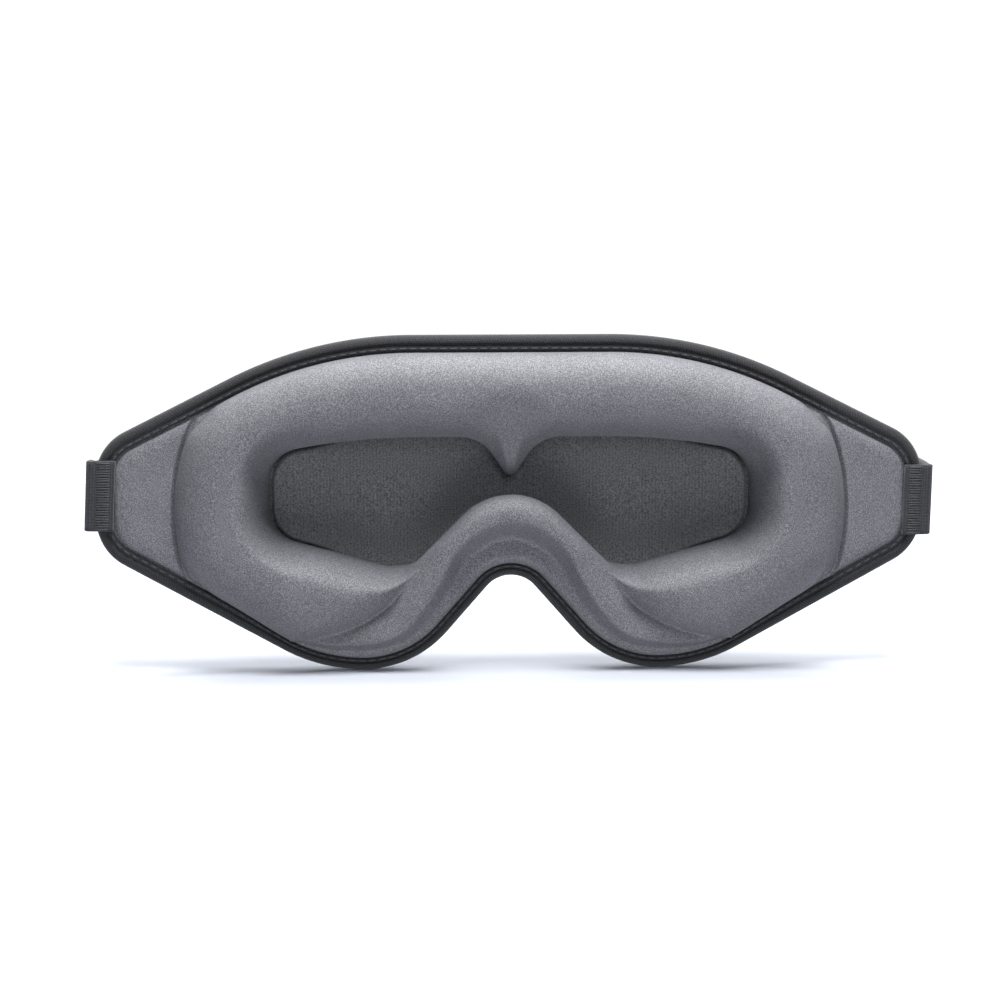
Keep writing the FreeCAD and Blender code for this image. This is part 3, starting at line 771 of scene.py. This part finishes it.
def wing_panel(side, name):
    """The lightly padded panel between the pad and the binding. side is 1 or -1."""
    pad_arc, upper, below = pad_side(WING_REACH_IN, 0.0)
    down = math.tan(math.radians(SHOULDER_ANGLE))
    start = brow_steps(WING_TUCK)[1]
    start = start + np.array([1, -down]) * (upper[0] - 4 - start[0])
    end = jaw_start(WING_TUCK, 0.0)
    end = end + np.array([1, math.tan(math.radians(JAW_ANGLE))]) * (below[0] - 4 - end[0])
    rim = edge_of(wing_steps(WING_TUCK, start, end, 0.0))
    hem = edge_of([pad_arc])
    at = np.linspace(0, 1, WING_ROWS)
    outer, inner = rim.at(at * rim.run[-1]), hem.at(at * hem.run[-1])
    share = 1 - (1 - np.linspace(0, 1, WING_COLUMNS)) ** 1.5
    flat = outer[:, None, :] + share[None, :, None] * (inner - outer)[:, None, :]
    spots = flat.reshape(-1, 2)
    gap = rim.nearest(spots)[0]
    rise = 1.55 + 2.0 * swell((gap - 0.75) / 4.5, 2.2)
    rise -= SEAM_DEPTH * ease(1 - PAD_EDGE.nearest(spots)[0] / SEAM_WIDTH)
    rise = np.maximum(rise, 1.5).reshape(flat.shape[:2])
    flat[..., 0] *= side
    panel = shell_piece(name, flat, rise, np.full(rise.shape, WING_UNDERSIDE), PAD)
    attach(panel, "mask")
    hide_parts("pad_fabric")
    return panel


wing_panel(-1, "wing_panel_left")
wing_panel(1, "wing_panel_right")


# --- lining and front ---

def half_bounds(steps, xs):
    """Lowest and highest z of a right half outline at each x."""
    points = trace(steps, divisions(steps, FINE))
    far = int(np.argmax(points[:, 0]))
    top, low = points[:far + 1], points[far:][::-1]
    reach = points[far, 0]
    right = points[points[:, 0] > reach - 1e-6]
    highs = np.interp(xs, top[:, 0], top[:, 1])
    lows = np.interp(xs, low[:, 0], low[:, 1])
    end = xs > reach - 1e-6
    highs[end], lows[end] = right[:, 1].max(), right[:, 1].min()
    return lows, highs


def column_grid(steps, reach, rows, columns, crowd):
    """Points of a grid that fills a right half outline, and their mirror images."""
    xs = reach * (1 - (1 - np.linspace(0, 1, rows)) ** crowd)
    lows, highs = half_bounds(steps, xs)
    share = 0.5 - 0.5 * np.cos(np.linspace(0, math.pi, columns))
    share = 0.5 * share + 0.5 * np.linspace(0, 1, columns)
    z = lows[:, None] + share[None, :] * (highs - lows)[:, None]
    half = np.stack([np.broadcast_to(xs[:, None], z.shape), z], -1)
    left = half[:0:-1].copy()
    left[..., 0] *= -1
    return np.concatenate([left, half])


def depth_inside(edge, where):
    """Distance from the edge for the points inside that right half outline, and 0 for the others."""
    area = np.vstack([edge.points, [(-1.0, edge.points[-1, 1]), (-1.0, edge.points[0, 1])]])
    return np.where(inside(where, area), edge.nearest(where)[0], 0.0)


def folded_over(flat):
    """The grid's points in one list, with those of the left half mirrored to the right."""
    return flat.reshape(-1, 2) * np.where(flat.reshape(-1, 2)[:, :1] < 0, [-1, 1], [1, 1])


LINING_TUCK = 3.5                 # how far the lining runs on under the pad
PANEL_STEP = 1.3                  # how far the lining's panel stands out of the groove round it
plain_top = [line((0, CAVITY_TOP + LINING_TUCK), (ARCH_PLACE, CAVITY_TOP + LINING_TUCK))]
lining_steps = plain_top + cavity_steps(LINING_TUCK)[4:]
flat = column_grid(lining_steps, CAVITY_REACH + LINING_TUCK, 300, 110, 1.5)
panel = edge_of(cavity_steps(0))
spots = folded_over(flat)
panel_gap = depth_inside(panel, spots).reshape(flat.shape[:2])
dish = 0.35 * np.exp(-((np.abs(flat[..., 0]) - 36) / 26) ** 2 - (flat[..., 1] / 14) ** 2)
at_end = ease((np.abs(flat[..., 0]) - 48) / 12)
rise = -FLOOR_Y - dish + at_end * ((PANEL_STEP + GROOVE) * swell(panel_gap / 1.2) - GROOVE)
lining = shell_piece("cavity_lining", flat, rise, rise - SKIN, LINING)
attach(lining, "mask")
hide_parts("lining_fabric")

FRONT_TUCK = 4.5                  # inset of the front shell's edge, under the binding
flat = column_grid(mask_steps(FRONT_TUCK), WING_REACH - FRONT_TUCK, 420, 130, 1.35)
spots = folded_over(flat)
rim_gap = edge_of(mask_steps(FRONT_TUCK)).nearest(spots)[0]
shape = edge_of(pad_steps(0.5))
pad_gap = depth_inside(shape, spots)
bulge = 6.2 * ease(pad_gap / 15.0) ** 0.9
dome = 1.1 * np.exp(-((spots[:, 0] - 40) / 24) ** 2 - ((spots[:, 1] - 1) / 17) ** 2)
back = 1.55 + 0.55 * swell((rim_gap - 0.75) / 3.0, 2.2) + bulge + dome
back = back.reshape(flat.shape[:2])
beside = np.exp(-((np.abs(flat[..., 0]) - 70) / 5) ** 4 - (flat[..., 1] / 19) ** 4)
inner = np.maximum(back - 3.3 + 2.1 * beside, -1.2)
front = shell_piece("front_shell", flat, -inner, -back, FRONT)
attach(front, "mask")
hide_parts("front_foam", "front_fabric")


# --- binding and its stitches ---

def binding_section():
    """Closed section of the folded tape, as (inset, rise), face side first."""
    strip = [(4.8, 1.35), (4.8, 2.0), (4.72, 2.22), (4.5, 2.36), (4.2, 2.42), (3.85, 2.4),
             (3.55, 2.3), (3.3, 2.1), (3.1, 1.98), (2.92, 2.02), (2.75, 2.2), (2.6, 2.36)]
    roll = [(2.5 - 2.5 * math.sin(a), 2.5 * math.cos(a)) for a in np.radians(np.arange(4, 91, 7.8))]
    face = strip + roll
    back = [(inset, -rise) for inset, rise in reversed(face)]
    slot = [(0.9, -1.35), (0.9, 1.35)]
    return face + back[1:] + slot


def sweep_edge(section, spacing):
    """Rings of points of a section carried round the mask's edge."""
    counts = divisions(mask_steps(0), spacing)
    loops = []
    for inset, rise in section:
        half = eased_trace(mask_steps, inset, counts)
        loops.append(both_halves(lift(half[:, None, :], np.full((len(half), 1), rise))))
    return np.concatenate(loops, 1)


def tube_faces(rows, ring, closed):
    """Quads of a tube of rows of ring points: a closed loop, or a run with a cap on each end."""
    faces = []
    for i in range(rows if closed else rows - 1):
        j = (i + 1) % rows
        for k in range(ring):
            m = (k + 1) % ring
            faces.append((i * ring + k, j * ring + k, j * ring + m, i * ring + m))
    if not closed:
        faces.append(tuple(range(ring)))
        faces.append(tuple(range((rows - 1) * ring, rows * ring))[::-1])
    return faces


def write_uv(piece, along, across, loop_length=None):
    """UV map in metres from each vertex's place along and across; a loop's seam is closed up."""
    layer = piece.data.uv_layers.new(name="UVMap")
    for face in piece.data.polygons:
        places = [along[v] for v in face.vertices]
        for loop, vertex, place in zip(face.loop_indices, face.vertices, places):
            if loop_length and max(places) - place > loop_length / 2:
                place += loop_length
            layer.data[loop].uv = (place, across[vertex])


BINDING_SPACING = 0.9
section = binding_section()
rings = sweep_edge(section, BINDING_SPACING)
rows, columns = rings.shape[:2]
binding = new_piece("edge_binding_tape", rings.reshape(-1, 3), tube_faces(rows, columns, True), BINDING,
                    sharp=60)
middle = trace(mask_steps(0), divisions(mask_steps(0), BINDING_SPACING))
loop = both_halves(middle[:, None, :])[:, 0]
loop_run = run_of(np.vstack([loop, loop[:1]]))
section_run = run_of(np.array(section))
write_uv(binding, np.repeat(loop_run[:-1], columns) * MM, np.tile(section_run, rows) * MM,
         loop_run[-1] * MM)
tidy_normals(binding)
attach(binding, "mask")
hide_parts("edge_binding")


def capsule(points, radius, sides=8):
    """A thread along a few points, pinched in at both ends."""
    points = np.array(points, float)
    count = len(points)
    way = np.gradient(points, axis=0)
    way /= np.linalg.norm(way, axis=1)[:, None]
    up = np.array([0.0, -1.0, 0.0])
    side = np.cross(way, up)
    side /= np.linalg.norm(side, axis=1)[:, None]
    top = np.cross(side, way)
    share = np.linspace(-1, 1, count)
    girth = radius * np.sqrt(np.clip(1 - np.abs(share) ** 4, 0.02, 1))
    turn = np.linspace(0, 2 * math.pi, sides, endpoint=False)
    ring = (np.cos(turn)[None, :, None] * side[:, None, :]
            + np.sin(turn)[None, :, None] * top[:, None, :])
    vertices = points[:, None, :] + girth[:, None, None] * ring
    return vertices.reshape(-1, 3), tube_faces(count, sides, False)


def threads(name, strands, radius, body, node, sides=8):
    """Many short threads as one piece."""
    vertices, faces, first = [], [], 0
    for strand in strands:
        some, quads = capsule(strand, radius, sides)
        vertices.append(some)
        faces += [tuple(v + first for v in quad) for quad in quads]
        first += len(some)
    piece = new_piece(name, np.vstack(vertices), faces, THREAD, sharp=60)
    tidy_normals(piece)
    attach(piece, body)
    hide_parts(node)
    return piece


STITCH, STITCH_GAP, STITCH_INSET = 2.3, 0.55, 3.95


def edge_stitches():
    """Lockstitches round the strip of the binding, on the face side and on the front side."""
    half = eased_trace(mask_steps, STITCH_INSET, divisions(mask_steps(0), 0.2))
    loop = both_halves(half[:, None, :])[:, 0]
    loop = np.vstack([loop, loop[:1]])
    run = run_of(loop)
    count = int(run[-1] / (STITCH + STITCH_GAP))
    pitch = run[-1] / count
    strands = []
    share = np.linspace(0, 1, 7)
    for number in range(count):
        for side, shift in ((1, 0.0), (-1, 0.5)):
            at = (number + shift) * pitch + share * (pitch - STITCH_GAP)
            at = np.mod(at, run[-1])
            x, z = (np.interp(at, run, loop[:, axis]) for axis in (0, 1))
            rise = side * (2.3 + 0.2 * np.sin(math.pi * share) ** 0.5)
            strands.append(np.stack([x, -rise, z], 1))
    return strands


threads("edge_lockstitch", edge_stitches(), 0.2, "mask", "edge_stitching")


# --- strap ---

def walk(start, heading, moves, spacing=0.8, turn_step=6.0):
    """Points of a path in plan from moves that are (length,) or (radius, turn in degrees)."""
    here = np.array(start, float)
    points = [here]
    for move in moves:
        way = np.array([math.cos(math.radians(heading)), math.sin(math.radians(heading))])
        if len(move) == 1:
            count = max(1, round(move[0] / spacing))
            points += [here + way * move[0] * k / count for k in range(1, count + 1)]
        else:
            radius, turn = move
            bend = math.copysign(1, turn)
            left = np.array([-way[1], way[0]])
            centre = here + left * radius * bend
            begin = heading - 90 * bend
            arc_length = abs(math.radians(turn)) * radius
            count = max(2, round(abs(turn) / turn_step), round(arc_length / spacing))
            points += [on_circle(centre, radius, begin + turn * k / count)
                       for k in range(1, count + 1)]
            heading += turn
        here = points[-1]
    return np.array(points)


def web_section(rows=18):
    """Half section of the webbing: (share of the width, share of the thickness) round the strip."""
    z = np.linspace(-0.96, 0.96, rows)
    face = [(s, 0.5) for s in z]
    edge = [(0.985, 0.36), (1.0, 0.0), (0.985, -0.36)]
    back = [(s, -0.5) for s in z[::-1]]
    other_edge = [(-s, t) for s, t in reversed(edge)]
    return face + edge + back + other_edge


def ribbon(name, path, node_names):
    """A strip of elastic webbing on edge along a path in plan, as a closed mesh."""
    section = np.array(web_section())
    way = np.gradient(path, axis=0)
    way /= np.linalg.norm(way, axis=1)[:, None]
    left = np.stack([-way[:, 1], way[:, 0]], 1)
    count, ring = len(path), len(section)
    xy = path[:, None, :] + left[:, None, :] * (section[None, :, 1, None] * WEB)
    z = np.broadcast_to(section[None, :, 0] * WEB_WIDTH / 2, (count, ring))
    vertices = np.concatenate([xy, z[:, :, None]], 2).reshape(-1, 3)
    piece = new_piece(name, vertices, tube_faces(count, ring, False), ELASTIC, sharp=50)
    run = run_of(path)
    write_uv(piece, np.repeat(run, ring) * MM, np.tile(section[:, 0] * WEB_WIDTH / 2, count) * MM)
    tidy_normals(piece)
    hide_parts(*node_names)
    return piece


def turned_hem(side):
    """Turn round a bar, draw in against the strap and run along it. side is 1 for a left turn."""
    slope = math.radians(HEM_BEND)
    drop = 2 * WRAP - WEB - 0.1
    run = (drop - 2 * HEM_RADIUS * (1 - math.cos(slope))) / math.sin(slope)
    return [(WRAP, 180 * side), (HEM_RADIUS, HEM_BEND * side), (run,),
            (HEM_RADIUS, -HEM_BEND * side), (HEM,)]


LEFT_ASKEW, RIGHT_ASKEW = (1.7, 0.05), (-0.8, 0.03)   # rise in mm, and lean per mm of height
ASKEW_FADE = 22.0                 # how far behind the rim the strap runs true again


def set_askew(piece, rise, tilt):
    """Sews a tab on a little too high or low and leaning, fading out along the strap."""
    for vertex in piece.data.vertices:
        fade = 1 - float(ease(vertex.co.y / MM / ASKEW_FADE))
        vertex.co.x += tilt * vertex.co.z * fade
        vertex.co.z += rise * MM * fade
    piece.data.update()


TAB_Y = -3.25                     # middle of the tab's webbing
FOLD_RADIUS, FOLD_X = 1.3, 119.6  # middle of the webbing where it turns round the wing's end
EASE_RUN, EASE_ANGLE = 5.0, 11.4  # the web's slight bow outwards behind the fold


def side_moves(side):
    """From the sewn tab round the wing's end and back to the strap's run behind the mask."""
    side_x = FOLD_REACH - WEB / 2
    ease_radius = EASE_RUN / (2 * math.sin(math.radians(EASE_ANGLE)))
    fold_end = TAB_Y + FOLD_RADIUS
    level = 2.0
    return [
        (FOLD_X - FOLD_RADIUS - TAB_START,),
        (FOLD_RADIUS, 90 * side),
        (level - fold_end,),
        (ease_radius, -EASE_ANGLE * side),
        (ease_radius, EASE_ANGLE * side),
        (SIDE_RUN - level - EASE_RUN,),
        (BACK_CORNER, 90 * side),
    ], side_x - BACK_CORNER


left_bar = RING_PLACE - RING_PITCH / 2
right_bar = RING_PLACE + RING_PITCH / 2
moves, back_run = side_moves(-1)
path = walk((-TAB_START, TAB_Y), 180, moves + [(back_run + left_bar,)] + turned_hem(-1))
short_strap = ribbon("strap_short_side", path, ["left_strap_tab", "short_strap"])
set_askew(short_strap, *LEFT_ASKEW)
moves, back_run = side_moves(1)
path = walk((TAB_START, TAB_Y), 0, moves + [(back_run - right_bar,), (WRAP, 180), (WEB,)])
long_strap = ribbon("strap_long_side", path, ["right_strap_tab", "long_strap"])
set_askew(long_strap, *RIGHT_ASKEW)
for piece in (short_strap, long_strap):
    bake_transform(piece)

slider_bar_y = WEB_Y - WEB - SLIDE_GAP - WRAP
fold_x, fold_y = SLIDER_PLACE - RETURN_START, slider_bar_y - WRAP
path = walk((fold_x, fold_y), 0, [(RETURN_START,)] + turned_hem(1))
end_fold = ribbon("strap_sewn_end", path, ["strap_end_fold"])
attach(end_fold, "slider")
start_x, start_y = right_bar + WEB + 0.1, WEB_Y - 2 * WRAP
slant = math.degrees(math.atan2(fold_y - start_y, fold_x - start_x))
length = math.hypot(fold_y - start_y, fold_x - start_x) - 0.2
path = walk((start_x, start_y), slant, [(length,)])
strap_back = ribbon("strap_inner_run", path, ["strap_return"])
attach(strap_back, "strap")
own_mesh(strap_back)


# --- tacks ---

TACK_HEIGHT = 9.3                 # half the height of a tack, a little less than the webbing's


def bar_tack(name, x_low, x_high, y, away, rows, body, node):
    """Close rows of thread across the webbing."""
    strands = []
    for row in range(rows):
        z = TACK_HEIGHT * (2 * row / (rows - 1) - 1)
        lean = 0.05 * (1 if row % 2 else -1)
        xs = np.linspace(x_low, x_high, 7)
        share = np.linspace(-1, 1, 7)
        ys = y + away * (0.14 * (1 - share ** 4) - 0.05)
        strands.append(np.stack([xs, ys, z + lean * share + 0.05 * math.sin(row * 2.4)], 1))
    return threads(name, strands, 0.23, body, node)


face_y = TAB_Y - WEB / 2
TACK_START, TACK_END, TACK_ROWS = 112.9, 117.1, 27
tack = bar_tack("tab_tack_left", -TACK_END, -TACK_START, face_y, -1, TACK_ROWS, "mask",
                "left_tab_stitching")
set_askew(tack, *LEFT_ASKEW)
tack = bar_tack("tab_tack_right", TACK_START, TACK_END, face_y, -1, TACK_ROWS, "mask",
                "right_tab_stitching")
set_askew(tack, *RIGHT_ASKEW)
low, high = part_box("short_strap_stitching")
bar_tack("short_strap_tack", low.x / MM, high.x / MM, low.y / MM, 1, 24, "strap",
         "short_strap_stitching")
low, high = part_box("strap_end_stitching")
bar_tack("strap_end_tack", low.x / MM, high.x / MM, high.y / MM, -1, 24, "slider",
         "strap_end_stitching")

for node in ("strap_ring", "strap_slider"):
    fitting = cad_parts[node]
    fitting.data.materials.clear()
    fitting.data.materials.append(PLASTIC)


# --- studio ---

low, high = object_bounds()
floor_z = low.z

bpy.ops.mesh.primitive_circle_add(vertices=128, radius=0.75, fill_type="NGON",
                                  location=(0, 0, floor_z))
floor = bpy.context.object
floor.name = "studio_floor"
n = Nodes("studio_floor")
n.set(Base_Color=tone(0.66, 0.69, 0.76), Roughness=0.6, Specular_IOR_Level=0.1)
floor.data.materials.append(n.material)
floor.visible_diffuse = False
floor.visible_shadow = False

bpy.ops.mesh.primitive_uv_sphere_add(segments=48, ring_count=24, radius=5.5)
dome = bpy.context.object
dome.name = "studio_backdrop"
n = Nodes("studio_backdrop")
n.set(Base_Color=tone(0, 0, 0), Emission_Color=tone(1, 1, 1), Emission_Strength=1.05)
dome.data.materials.append(n.material)
dome.visible_diffuse = False
dome.visible_glossy = False
dome.visible_transmission = False
dome.visible_shadow = False

world = bpy.data.worlds.new("studio")
bpy.context.scene.world = world
world.use_nodes = True
world.node_tree.nodes["Background"].inputs["Color"].default_value = tone(0.86, 0.9, 1.0)
world.node_tree.nodes["Background"].inputs["Strength"].default_value = 0.12


def soft_light(name, place, target, size, watts, colour=(1, 1, 1)):
    """A square softbox that faces its target; places are in metres."""
    data = bpy.data.lights.new(name, "AREA")
    data.shape = "RECTANGLE"
    data.size, data.size_y = size
    data.energy = watts
    data.color = colour
    lamp = bpy.data.objects.new(name, data)
    bpy.context.scene.collection.objects.link(lamp)
    lamp.location = place
    lamp.rotation_euler = (Vector(target) - Vector(place)).to_track_quat("-Z", "Y").to_euler()
    return lamp


soft_light("key_overhead", (0.08, -0.28, 0.96), (0, 0, 0), (0.6, 0.45), 14.0)
soft_light("rear_overhead", (0.0, 0.2, 0.98), (0, 0, 0), (0.8, 0.35), 8.0)
soft_light("front_fill", (0.12, -0.95, 0.42), (0, 0, 0), (0.4, 0.4), 2.0, (0.95, 0.97, 1.0))
soft_light("table_bounce", (0.0, -0.65, -0.75), (0, 0, 0), (0.6, 0.4), 3.8, (0.95, 0.97, 1.0))
soft_light("floor_wash", (0.0, 0.95, 0.75), (0, 0.65, -0.05), (1.6, 0.6), 14.0)

scene = bpy.context.scene
scene.view_settings.view_transform = "Standard"
scene.view_settings.look = "None"

# --- camera at the photograph's angle ---

camera_data = bpy.data.cameras.new("camera")
camera = bpy.data.objects.new("camera", camera_data)
scene.collection.objects.link(camera)
camera_data.lens, camera_data.sensor_width = 76.2, 36.0
CAMERA_TURN, CAMERA_DISTANCE, CAMERA_HEIGHT, CAMERA_ROLL = -2.0, 600.0, 57.7, -0.224
camera.location = (CAMERA_DISTANCE * math.sin(math.radians(CAMERA_TURN)) * MM,
                   -CAMERA_DISTANCE * math.cos(math.radians(CAMERA_TURN)) * MM, CAMERA_HEIGHT * MM)
aim = Vector((-3.0, 0.0, -0.43)) * MM
facing = (aim - camera.location).to_track_quat("-Z", "Y")
roll = Euler((0, 0, math.radians(CAMERA_ROLL)))
camera.rotation_euler = (facing.to_matrix() @ roll.to_matrix()).to_euler()
scene.camera = camera
